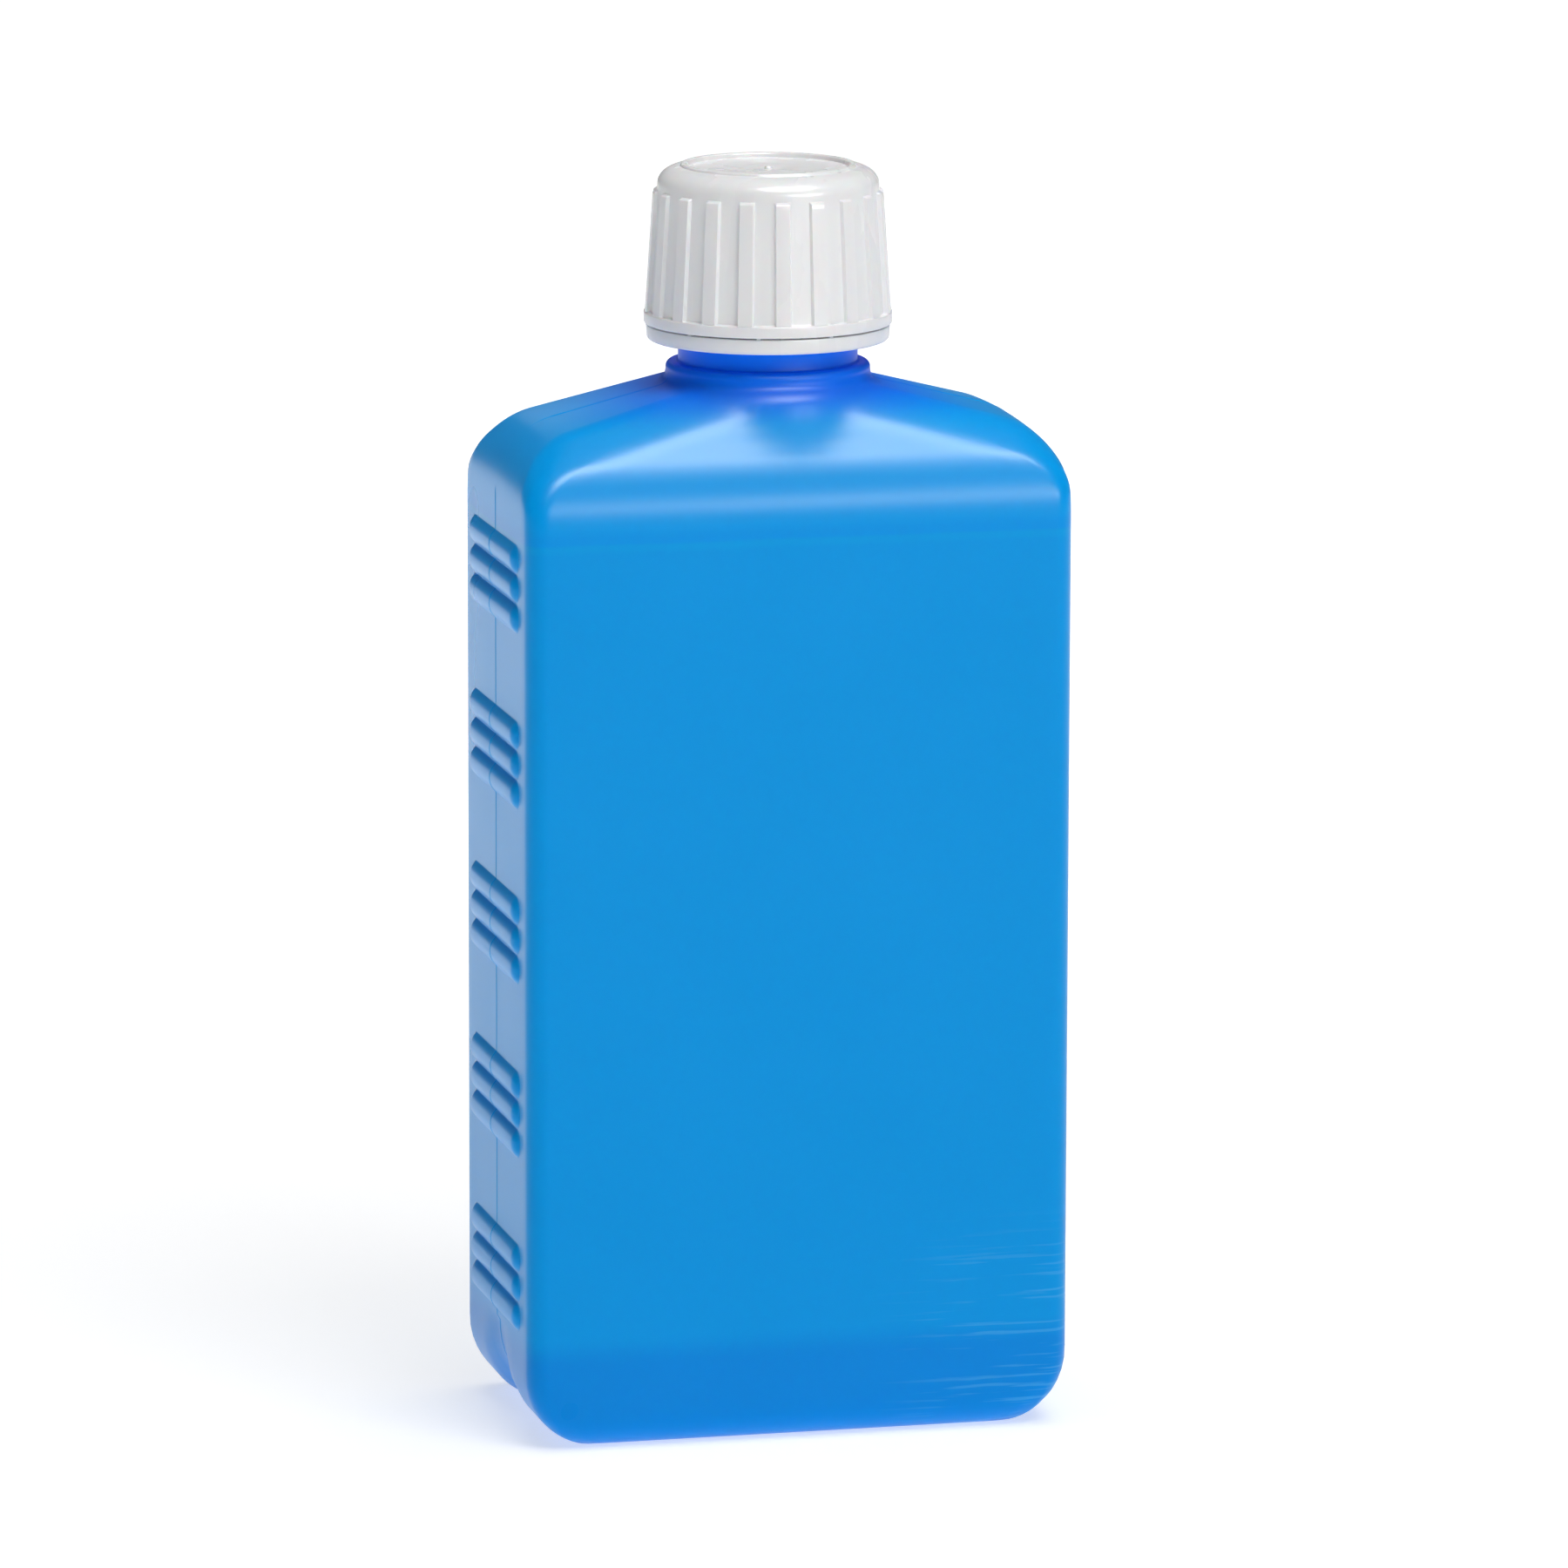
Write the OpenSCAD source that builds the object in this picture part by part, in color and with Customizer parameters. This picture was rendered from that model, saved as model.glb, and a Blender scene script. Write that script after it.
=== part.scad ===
// Rectangular reagent bottle, about 500 ml, with a tamper-evident screw cap.
// The bottle stands on z = 0 and its neck is on the Z axis.
// X runs across the broad faces, and -Y is the front.

/* [Body] */
// Width across the broad face, between the flats of the narrow sides
body_w = 85; // [80:1:95]
// Depth from the front face to the back face
body_d = 46.5; // [45:0.5:56]
// Height of the straight walls
wall_top = 145; // [143:1:160]
// Thickness of the blown wall
wall = 1.1; // [0.9:0.1:1.3]
// Radius of the four upright corners
corner_r = 4; // [3:0.5:5]
// Radius of the lower corners, seen from the front
base_corner_r = 11.5; // [10:0.5:13]
// Radius along the front and back lower edges
base_edge_r = 5; // [4:0.5:6]
// Radius of the shoulder corners, seen from the front
shoulder_r = 11.3; // [10:0.1:12]
// Slope of the roof that falls from the neck to both sides, in degrees
roof_slope = 14.3; // [13:0.1:16]
// Lean of the front and back shoulder slopes from upright, in degrees
front_lean = 31.4; // [29:0.1:33]
// Radius where the front and back walls turn into those slopes
front_edge_r = 6.5; // [5:0.5:8]

/* [Base channel] */
// Depth of the pinch-off channel along the underside
channel_depth = 3; // [2:0.25:3.5]
// Radius of the channel's cross-section
channel_r = 13; // [11:0.5:14]

/* [Finger ribs] */
// Groups of raised ribs on each narrow side
rib_groups = 5; // [3:1:5]
// Ribs in one group
ribs_per_group = 3; // [2:1:3]
// Distance between the centres of two groups
group_pitch = 27; // [26:0.5:28]
// Height of the middle of the lowest group
first_group_z = 24.2; // [23:0.1:25]
// Distance between two ribs of a group
rib_pitch = 4.55; // [4.5:0.05:5]
// Overall length of a rib
rib_len = 33; // [28:0.5:34]
// How far a rib stands out from the flat
rib_proud = 1.1; // [0.8:0.1:1.4]

/* [Neck] */
// Outer radius of the plain neck
neck_r = 13.7; // [13.6:0.05:13.8]
// Radius of the neck bore
bore_r = 11.6; // [11:0.1:12]
// Radius of the collar under the tamper band
collar_r = 15.6; // [15.2:0.1:16]
// Crest radius of the neck thread
neck_crest_r = 15.15; // [15:0.05:15.2]
// Height of the neck rim above the top of the straight walls
neck_h = 45.4; // [45:0.2:48]

/* [Thread] */
// Rise in one turn
lead = 4; // [4:0.1:4.4]
// Turns of thread on the neck
neck_turns = 1.75; // [1:0.25:2]
// Turns of thread in the cap
cap_turns = 1.5; // [1:0.25:1.75]

/* [Cap] */
// Radius of the flange at the foot of the cap
flange_r = 18.95; // [18.8:0.05:19.2]
// Radius of the smooth shell at its foot, between the ribs
shell_r_low = 18.15; // [18:0.05:18.3]
// Radius of the smooth shell under the domed edge
shell_r_high = 16.9; // [16.8:0.05:17.1]
// Number of grip ribs
rib_count = 20; // [12:1:24]
// Angle that one rib covers, in degrees
rib_angle = 7.1; // [5:0.1:9]
// Radius of the cap bore
cap_bore_r = 15.55; // [15.5:0.05:15.7]
// Crest radius of the cap thread
cap_crest_r = 14.15; // [14.1:0.05:14.4]
// Radius of the round recess in the top
recess_r = 12.3; // [11:0.1:12.5]
// Depth of that recess below the raised bead
recess_depth = 0.8; // [0.5:0.1:1]

/* [Contents] */
// Height of the liquid surface above the ground
fill_z = 140; // [60:1:140]

/* [Hidden] */
$fn = 64;

half_w = body_w / 2;
half_d = body_d / 2;
corner_steps = 10;
edge_steps = 6;

// cutters run this far past the faces that they open
overrun = 1;

// a narrow land stays between two ribs of a group
rib_land = 0.16;
// the channel turns up a little wider than the body's lower corners
channel_turn_extra = 1.5;

// neck levels: the root swells into the shoulder below a plain collar
root_low_z = wall_top + 8;
root_low_r = 18.8;
collar_low_z = wall_top + 16.2;
collar_top_z = collar_low_z + 2.4;
edge_break = 0.5;
throat_low_z = wall_top + 7;
throat_low_r = 16.2;
throat_high_z = wall_top + 18;

// levels under the rim: the bead holds the tamper band down, the thread holds the cap
rim_z = wall_top + neck_h;
bead_z = rim_z - 20.7;
bead_h = 1.5;
bead_r = 15.1;
thread_low_z = rim_z - 12.9;

// thread section: wide at the root, narrow at the crest, sunk a little into its wall
root_width = 2;
crest_width = 0.9;
sunk = 0.25;
thread_steps = 30;
run_out_turns = 0.08;
end_height = 0.1;
bearing_gap = 0.35;

// cap levels
cap_low_z = rim_z - 20.9;
flange_top_z = cap_low_z + 1.8;
rib_top_z = rim_z - 0.6;
dome_low_z = rim_z + 0.2;
liner_h = 1.2;
liner_gap = 0.35;
top_plate = 1.4;
plate_low_z = rim_z + liner_h;
recess_z = plate_low_z + top_plate;
cap_top_z = recess_z + recess_depth;
bead_outer_r = recess_r + 1.1;
bead_round = 0.3;
dome_drop = 0.4;
rib_height = 0.65;
rib_sunk = 0.5;
rib_edge = 0.3;
rib_phase = 11.7;
nub_r = 0.55;
nub_h = 0.35;

// tamper band under the flange, with a lip that hooks under the bead
band_top_z = cap_low_z - 0.25;
band_low_z = band_top_z - 2.3;
band_r = 18.6;
band_bore_r = 16.3;
band_foot = [0.5, 0.5];
band_draft = 0.1;
lip_r = 14.15;
lip_low_z = band_low_z + 0.35;
lip_top_z = lip_low_z + 1;
lip_rise = 0.4;
bridge_count = 10;
bridge_w = 0.8;
bridge_h = 0.2;

// the liquid keeps this far from the wall
liquid_gap = 0.05;

// ---- outlines --------------------------------------------------------------

function arc(centre, r, from, to, steps) =
    [for (i = [0:steps]) let (a = from + (to - from) * i / steps)
        centre + r * [cos(a), sin(a)]];

// a right-hand half outline, from the bottom up, with its mirror image on the left
function both_sides(right) =
    concat(right, [for (i = [len(right) - 1:-1:0]) [-right[i][0], right[i][1]]]);

// a straight line that climbs from a point to the centre line at a slope in degrees
function to_centre(p, slope) = [0, p[1] + p[0] * tan(slope)];

// seen from the front: round lower corners, upright sides, shoulder arc and sloping roof
function front_outline(inset) =
    let (shoulder = arc([half_w - shoulder_r, wall_top], shoulder_r - inset,
                        0, 90 - roof_slope, corner_steps))
    both_sides(concat(
        arc([half_w - base_corner_r, base_corner_r], base_corner_r - inset, -90, 0, corner_steps),
        shoulder, [to_centre(shoulder[corner_steps], roof_slope)]));

// seen from the side: round lower edges, upright faces and leaning shoulder slopes
function side_outline(inset) =
    let (edge = arc([half_d - front_edge_r, wall_top], front_edge_r - inset,
                    0, front_lean, edge_steps))
    both_sides(concat(
        arc([half_d - base_edge_r, base_edge_r], base_edge_r - inset, -90, 0, edge_steps),
        edge, [to_centre(edge[edge_steps], 90 - front_lean)]));

// seen from above: a rectangle with round corners
function plan_outline(inset) =
    concat([for (q = [0:3])
        let (sx = q == 0 || q == 3 ? 1 : -1, sy = q < 2 ? 1 : -1)
        each arc([sx * (half_w - corner_r), sy * (half_d - corner_r)],
                 corner_r - inset, 90 * q, 90 * q + 90, edge_steps)]);

// ---- body ------------------------------------------------------------------

// the body with every face moved inwards by inset
module body_form(inset) {
    intersection() {
        rotate([90, 0, 0]) linear_extrude(height = 2 * body_d, center = true)
            polygon(front_outline(inset));
        rotate([90, 0, 90]) linear_extrude(height = 2 * body_w, center = true)
            polygon(side_outline(inset));
        linear_extrude(height = rim_z) polygon(plan_outline(inset));
    }
}

// the rounded channel under the base, which turns up and runs out at both ends;
// cover thickens it by a wall for the inside
module base_channel(cover) {
    turn_r = base_corner_r + channel_turn_extra;
    turn_z = turn_r + channel_depth;
    turn_x = half_w - turn_r;
    section_r = channel_r + cover;
    sweep_r = turn_r + channel_r;
    translate([-turn_x, 0, turn_z - sweep_r]) rotate([0, 90, 0])
        cylinder(r = section_r, h = 2 * turn_x);
    for (side = [-1, 1]) translate([side * turn_x, 0, turn_z])
        rotate([90, 0, 0]) rotate_extrude(angle = 90, start = side < 0 ? 180 : 270)
            translate([sweep_r, 0]) circle(r = section_r);
}

// one raised rib on the right-hand side at height z, a bar of round section with round ends,
// with its surface moved inwards by inset
module finger_rib(z, inset) {
    half_h = (rib_pitch - rib_land) / 2;
    r = (half_h * half_h + rib_proud * rib_proud) / (2 * rib_proud);
    end_y = rib_len / 2 - half_h;
    translate([half_w + rib_proud - r, 0, z]) {
        rotate([90, 0, 0]) cylinder(r = r - inset, h = 2 * end_y, center = true);
        for (y = [-end_y, end_y]) translate([0, y, 0]) sphere(r = r - inset);
    }
}

module finger_ribs(inset) {
    for (side = [0, 1], i = [0:rib_groups - 1], k = [0:ribs_per_group - 1])
        mirror([side, 0, 0])
            finger_rib(first_group_z + i * group_pitch + (k - (ribs_per_group - 1) / 2) * rib_pitch,
                       inset);
}

// the inside of the blown body, without the neck
module body_hollow(gap) {
    difference() {
        union() {
            body_form(wall + gap);
            finger_ribs(wall + gap);
        }
        base_channel(wall + gap);
    }
}

// ---- neck ------------------------------------------------------------------

neck_section = [
    [0, root_low_z], [root_low_r, root_low_z], [collar_r, collar_low_z],
    [collar_r, collar_top_z - edge_break], [collar_r - edge_break, collar_top_z],
    [neck_r, collar_top_z], [neck_r, bead_z], [bead_r, bead_z + bead_h / 3],
    [bead_r, bead_z + bead_h / 2], [neck_r, bead_z + bead_h],
    [neck_r, rim_z - edge_break], [neck_r - edge_break, rim_z], [0, rim_z]];

module neck() {
    rotate_extrude() polygon(neck_section);
}

// the way in: a straight bore that widens into the shoulder
module neck_passage() {
    translate([0, 0, throat_high_z]) cylinder(r = bore_r, h = rim_z);
    translate([0, 0, throat_low_z])
        cylinder(r1 = throat_low_r, r2 = bore_r, h = throat_high_z - throat_low_z);
}

// a right-hand thread of trapezoid section from the root radius to the crest radius,
// with its middle at height z on the +X side; both ends run out in the wall
module thread(root_r, crest_r, z, turns) {
    steps = ceil(turns * thread_steps);
    inward = crest_r < root_r;
    function height(t) = max(end_height, min(1, t / run_out_turns, (turns - t) / run_out_turns));
    ring = [for (i = [0:steps])
        let (t = turns * i / steps, a = 360 * t, h = height(t), c = root_r + (crest_r - root_r) * h)
        each [for (p = [[root_r, -root_width / 2], [c, -crest_width / 2],
                        [c, crest_width / 2], [root_r, root_width / 2]])
            [p[0] * cos(a), p[0] * sin(a), z + lead * t + p[1]]]];
    quads = [for (i = [0:steps - 1], k = [0:3])
        let (n = (k + 1) % 4)
        [4 * i + k, 4 * i + n, 4 * i + 4 + n, 4 * i + 4 + k]];
    ends = [[3, 2, 1, 0], [for (k = [0:3]) 4 * steps + k]];
    faces = concat(quads, ends);
    polyhedron(ring, [for (f = faces) inward ? [for (i = [3:-1:0]) f[i]] : f]);
}

// ---- sub-parts -------------------------------------------------------------

module bottle() {
    color([0.05, 0.52, 0.87, 0.8]) difference() {
        union() {
            body_form(0);
            finger_ribs(0);
            neck();
            thread(neck_r - sunk, neck_crest_r, thread_low_z, neck_turns);
        }
        body_hollow(0);
        neck_passage();
        base_channel(0);
    }
}

module liquid() {
    color([0.1, 0.6, 0.9, 0.5]) intersection() {
        body_hollow(liquid_gap);
        translate([-body_w, -body_d, 0]) cube([2 * body_w, 2 * body_d, fill_z]);
    }
}

module cap_liner() {
    color([0.93, 0.93, 0.9]) translate([0, 0, rim_z]) cylinder(r = cap_bore_r - liner_gap, h = liner_h);
}

// the outside of the cap without its ribs, from the flange up and over the domed edge
cap_section = concat(
    [[0, cap_low_z], [flange_r, cap_low_z], [flange_r, flange_top_z],
     [shell_r_low, flange_top_z], [shell_r_high, dome_low_z]],
    [for (i = [1:edge_steps]) let (a = 90 * i / edge_steps)
        [bead_outer_r + (shell_r_high - bead_outer_r) * cos(a),
         dome_low_z + (cap_top_z - dome_drop - dome_low_z) * sin(a)]],
    [[bead_outer_r - bead_round, cap_top_z], [recess_r + bead_round, cap_top_z],
     [recess_r, recess_z], [0, recess_z]]);

// one upright grip rib, standing rib_height proud of the shell
module rib() {
    slope = (shell_r_low - shell_r_high) / (dome_low_z - flange_top_z);
    shell_top = shell_r_low - slope * (rib_top_z - flange_top_z);
    rotate([0, 0, -rib_angle / 2]) rotate_extrude(angle = rib_angle)
        polygon([[shell_r_low - rib_sunk, flange_top_z - rib_sunk],
                 [shell_r_low + rib_height, flange_top_z - rib_sunk],
                 [shell_top + rib_height, rib_top_z - rib_edge],
                 [shell_top + rib_height - rib_edge, rib_top_z],
                 [shell_top - rib_sunk, rib_top_z]]);
}

module screw_cap() {
    color([0.93, 0.94, 0.96]) {
        difference() {
            union() {
                rotate_extrude() polygon(cap_section);
                for (i = [0:rib_count - 1]) rotate([0, 0, rib_phase + i * 360 / rib_count]) rib();
            }
            translate([0, 0, cap_low_z - overrun])
                cylinder(r = cap_bore_r, h = plate_low_z - cap_low_z + overrun);
        }
        translate([0, 0, recess_z - sunk]) cylinder(r = nub_r, h = nub_h + sunk);
        thread(cap_bore_r + sunk, cap_crest_r, thread_low_z - lead / 2 + bearing_gap, cap_turns);
    }
}

module tamper_band() {
    color([0.93, 0.94, 0.96]) {
        rotate_extrude() polygon([
            [lip_r, lip_low_z], [band_bore_r, band_low_z + band_draft],
            [band_r - band_foot[0], band_low_z], [band_r - band_draft, band_low_z + band_foot[1]],
            [band_r, band_top_z], [band_bore_r, band_top_z],
            [band_bore_r, lip_top_z + lip_rise], [lip_r, lip_top_z]]);
        for (i = [0:bridge_count - 1]) rotate([0, 0, i * 360 / bridge_count])
            translate([(band_r + band_bore_r) / 2, 0, band_top_z])
                cube([bridge_w, bridge_w, 2 * bridge_h], center = true);
    }
}

bottle();
liquid();
cap_liner();
screw_cap();
tamper_band();
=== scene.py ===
"""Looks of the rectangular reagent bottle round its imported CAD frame. Metres, +Z up, -Y is the front."""
import math

import bmesh
import bpy
import numpy as np
from mathutils import Euler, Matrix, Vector


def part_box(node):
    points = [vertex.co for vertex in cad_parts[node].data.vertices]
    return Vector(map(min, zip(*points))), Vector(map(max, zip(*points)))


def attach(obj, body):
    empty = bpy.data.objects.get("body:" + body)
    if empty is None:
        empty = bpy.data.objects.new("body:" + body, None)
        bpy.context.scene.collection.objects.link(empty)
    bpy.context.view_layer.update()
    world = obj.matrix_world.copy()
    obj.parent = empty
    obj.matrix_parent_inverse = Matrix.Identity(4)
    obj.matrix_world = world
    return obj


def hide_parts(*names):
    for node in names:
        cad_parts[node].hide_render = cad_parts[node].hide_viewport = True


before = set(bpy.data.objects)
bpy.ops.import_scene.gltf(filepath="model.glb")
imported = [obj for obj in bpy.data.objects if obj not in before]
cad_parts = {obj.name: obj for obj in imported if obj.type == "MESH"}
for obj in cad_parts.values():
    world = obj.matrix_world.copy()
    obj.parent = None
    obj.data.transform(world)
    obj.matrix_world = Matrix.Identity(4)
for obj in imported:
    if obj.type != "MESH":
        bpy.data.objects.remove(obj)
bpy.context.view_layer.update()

MM = 0.001

# ---- sizes taken from the frame --------------------------------------------

_, bottle_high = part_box("bottle")
_, liquid_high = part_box("liquid")
liner_low, liner_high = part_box("cap_liner")
cap_low, cap_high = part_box("screw_cap")
band_low, band_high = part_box("tamper_band")

RIB_PROUD = 1.1 * MM  # the raised finger ribs on the narrow sides
HALF_W = bottle_high.x - RIB_PROUD
HALF_D = bottle_high.y
RIM_Z = bottle_high.z
FILL_Z = liquid_high.z

# ---- body sizes, as in the CAD part ----------------------------------------

WALL = 1.1 * MM
LIQUID_GAP = 0.08 * MM  # between the liquid and the inside of the wall
WALL_TOP = 145 * MM
CORNER_R = 3.2 * MM
BASE_CORNER_R = 11.5 * MM
BASE_EDGE_R = 5 * MM
SHOULDER_R = 11.3 * MM
FRONT_EDGE_R = 6.5 * MM
SOFT_EDGE_R = 20 * MM  # the same edge, drawn softer without moving its flats
ROOF_TURN = math.radians(90 - 14.3)
FRONT_TURN = math.radians(31.4)
ROOF_CROWN_R = 220 * MM  # the roof is slightly crowned from front to back
CROWN_FADE = 8 * MM  # height over which that begins
HIP_R = 5 * MM  # the hips between roof and slopes are softer than the upright corners
HIP_FADE = 7 * MM
LOW_CORNER_GROWTH = 0.9  # the upright corners start sharp on the ground and round off at this rate
TIGHTEST_BLEND = 0.1 * MM
ROOT_TOP = (17.3 * MM, 160.8 * MM)
ROOT_SQUEEZE = 1.07  # the root is narrower across the bottle than front to back
ROOT_LEAN = 0.25  # how much the root of the neck widens for each step down
ROOT_LOW_Z = 150 * MM  # below this the root is hidden in the body
ROOT_LEDGE_RISE = 1 / 3  # slope of the ledge on top of the root
COLLAR_R = 15.6 * MM
COLLAR_WALL_Z = 162.3 * MM
COLLAR_TOP_Z = 163.6 * MM
ROOT_LEDGE_R = 1.5 * MM
ROOT_FILLET = 1.2 * MM
COLLAR_FILLET = 0.8 * MM
NECK_R = 13.7 * MM
BORE_R = 11.6 * MM
BEAD_Z = 169.7 * MM
BEAD_R = 15.1 * MM
BEAD_H = 1.6 * MM
INNER_TOP_R = 12.3 * MM
INNER_TOP_Z = 160.4 * MM

CHANNEL_R = 13 * MM
CHANNEL_DEPTH = 3 * MM
CHANNEL_TURN_R = BASE_CORNER_R + 1.5 * MM
CHANNEL_FILLET = 1.5 * MM
CHANNEL_CLOSING = 0.6  # how fast the channel's ends close above their turn

RIB_GROUPS = 5
RIBS = 3
FIRST_GROUP_Z = 24.2 * MM
GROUP_PITCH = 27 * MM
RIB_PITCH = 4.55 * MM
RIB_LAND = 0.16 * MM
RIB_LEN = 33 * MM
RIB_SOFT = 0.06 * MM  # how softly a rib's foot runs into the flat

SEAM_WALL_H = 0.07 * MM  # how far the mould's parting line stands proud on the walls
SEAM_ROOF_H = 0.1 * MM
ROOF_SEAM_Z = 154 * MM
ROOF_SEAM_FADE = 2 * MM

PANEL_SAG = 0.28 * MM  # how far the broad faces sink between their edges
PANEL_LOW_Z = 14 * MM
PANEL_HIGH_Z = 141 * MM
PANEL_FADE = 30 * MM
PANEL_EDGE = 3 * MM

LEAD = 4 * MM
NECK_CREST_R = 15.15 * MM
NECK_THREAD_Z = 177.5 * MM
NECK_TURNS = 1.75
CAP_CREST_R = 14.15 * MM
CAP_BORE_R = 15.55 * MM
BEARING_GAP = 0.35 * MM  # the neck's thread holds the cap's down by this play
CAP_THREAD_Z = NECK_THREAD_Z - LEAD / 2 + BEARING_GAP
CAP_TURNS = 1.5
THREAD_ROOT_W = 2 * MM
THREAD_RUN_OUT = 0.08  # turns over which a thread fades at either end
THREAD_END = 0.08  # what is left of its height there
THREAD_PROFILE = ((-0.5, 0.0), (-0.36, 0.35), (-0.27, 0.8), (-0.17, 1.0),
                  (0.17, 1.0), (0.27, 0.8), (0.36, 0.35), (0.5, 0.0))  # across, in root widths, and up
SUNK = 0.2 * MM  # how deep a thread's root sits in its wall

# ---- where the body's mesh has its rings ------------------------------------

BASE_SCALES = (0.02, 0.1, 0.2, 0.3, 0.4, 0.5, 0.58, 0.66, 0.72, 0.78, 0.83, 0.87, 0.9, 0.93, 0.96, 0.985)
FOOT_LINES = (0.6, 1.6, 2.8, 4.2, 6, 8, 10, 12, 14, 15.6)
SHOULDER_LINES = (143.2, 144.2, 145, 146, 147, 148, 149.2, 150.4)
ROOF_START_Z = 151.4 * MM
ROOF_STEPS = 44
ROOF_CROWDING = 0.9
RIB_LINE_LOW = 16.2 * MM
RIB_LINE_HIGH = 142 * MM
CLOSEST_LINES = 0.03 * MM
LOW_CENTRE_Z = 32 * MM
HIGH_CENTRE_Z = 118 * MM
ON_FACE = 1e-9


# ---- mesh helpers ----------------------------------------------------------

def smooth_step(x):
    x = np.clip(x, 0, 1)
    return x * x * (3 - 2 * x)


def new_object(name, verts, faces, material=None):
    mesh = bpy.data.meshes.new(name)
    mesh.from_pydata([tuple(v) for v in verts], [], [tuple(int(i) for i in f) for f in faces])
    mesh.update()
    obj = bpy.data.objects.new(name, mesh)
    bpy.context.scene.collection.objects.link(obj)
    if material:
        mesh.materials.append(material)
    return obj


def tidy_mesh(obj, sharp_degrees=None, weld=1e-7):
    """Welds doubles, turns the normals out and shades smoothly; edges sharper than the limit stay crisp."""
    bm = bmesh.new()
    bm.from_mesh(obj.data)
    bmesh.ops.remove_doubles(bm, verts=bm.verts, dist=weld)
    bmesh.ops.dissolve_degenerate(bm, edges=bm.edges, dist=weld)
    bmesh.ops.recalc_face_normals(bm, faces=bm.faces)
    for face in bm.faces:
        face.smooth = True
    bm.to_mesh(obj.data)
    bm.free()
    if sharp_degrees is not None:
        obj.data.set_sharp_from_angle(angle=math.radians(sharp_degrees))
    return obj


def ring_faces(rings, count, start=0, closed_loop=False):
    """Quads between successive rings of count points; closed_loop also joins the last ring to the first."""
    faces = []
    spans = rings if closed_loop else rings - 1
    for i in range(spans):
        a = start + i * count
        b = start + ((i + 1) % rings) * count
        for k in range(count):
            n = (k + 1) % count
            faces.append((a + k, a + n, b + n, b + k))
    return faces


def fan_faces(first, count, centre):
    """Triangles from a ring of count points to one vertex in its middle."""
    return [(first + k, first + (k + 1) % count, centre) for k in range(count)]


def flat_verts(rings):
    return [tuple(v) for ring in rings for v in ring]


def close_ends(verts, faces, first, last, count, first_z, last_z):
    """Closes two rings, given by their first vertices, with a fan round a new vertex on the axis."""
    for start, z in ((first, first_z), (last, last_z)):
        verts.append((0, 0, z))
        faces += fan_faces(start, count, len(verts) - 1)


def add_part(verts, faces, part):
    """Adds another closed part to a list of vertices and faces."""
    start = len(verts)
    verts += part[0]
    faces += [tuple(start + i for i in face) for face in part[1]]


def arc_points(centre, radius, start, end, steps):
    """Points of an arc in the (radius, height) plane; angles in degrees."""
    angles = [math.radians(a) for a in np.linspace(start, end, steps + 1)]
    return [(centre[0] + radius * math.cos(a), centre[1] + radius * math.sin(a)) for a in angles]


def revolve(section, angles):
    """Rings of points from an outline of (radius, height) pairs, one ring for each pair."""
    c, s = np.cos(angles), np.sin(angles)
    return [np.stack([r * c, r * s, np.full_like(c, z)], 1) for r, z in section]


def helix_ridge(root_r, crest_r, z, turns, segments=64):
    """A screw thread's ridge as a closed tube of rounded trapezoid section that runs out at both ends."""
    steps = int(turns * segments)
    verts, faces = [], []
    for i in range(steps + 1):
        t = turns * i / steps
        a = 2 * math.pi * t
        rise = max(THREAD_END, min(1.0, t / THREAD_RUN_OUT, (turns - t) / THREAD_RUN_OUT))
        for w, h in THREAD_PROFILE:
            r = root_r + (crest_r - root_r) * h * rise
            verts.append((r * math.cos(a), r * math.sin(a), z + LEAD * t + w * THREAD_ROOT_W))
    n = len(THREAD_PROFILE)
    for i in range(steps):
        for k in range(n):
            m = (k + 1) % n
            faces.append((i * n + k, i * n + m, (i + 1) * n + m, (i + 1) * n + k))
    faces.append(tuple(range(n)))
    faces.append(tuple(steps * n + k for k in range(n)))
    return verts, faces


# ---- the body's surface as a distance field --------------------------------

def round_intersection(a, b, r):
    return np.minimum(np.maximum(a, b), -r) + np.hypot(np.maximum(a + r, 0), np.maximum(b + r, 0))


def round_union(a, b, r):
    return np.maximum(np.minimum(a, b), r) - np.hypot(np.maximum(r - a, 0), np.maximum(r - b, 0))


def outline_distance(across, z, half, low_r, high_r, turn, high_z):
    """Distance to an outline from one side: floor, low corner, upright wall, high corner, straight slope."""
    across = np.abs(across)
    u, v = across - (half - low_r), low_r - z
    low = np.where(u <= 0, -z, np.where(v <= 0, u - low_r, np.hypot(u, v) - low_r))
    u, v = across - (half - high_r), z - high_z
    high = np.where(np.arctan2(v, u) < turn, np.hypot(u, v) - high_r,
                    u * math.cos(turn) + v * math.sin(turn) - high_r)
    return np.where(z < low_r, low, np.where(z > high_z, high, across - half))


def channel_distance(x, y, z):
    """Distance to the rounded channel under the base, which turns up at both ends into the side walls."""
    turn_z = CHANNEL_TURN_R + CHANNEL_DEPTH
    out = np.maximum(np.abs(x) - (HALF_W - CHANNEL_TURN_R), 0)
    down = np.maximum(turn_z - z, 0)
    sweep = CHANNEL_TURN_R + CHANNEL_R
    along = np.hypot(np.hypot(out, down) - sweep, y) - CHANNEL_R
    return along + CHANNEL_CLOSING * np.maximum(z - turn_z, 0)


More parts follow.
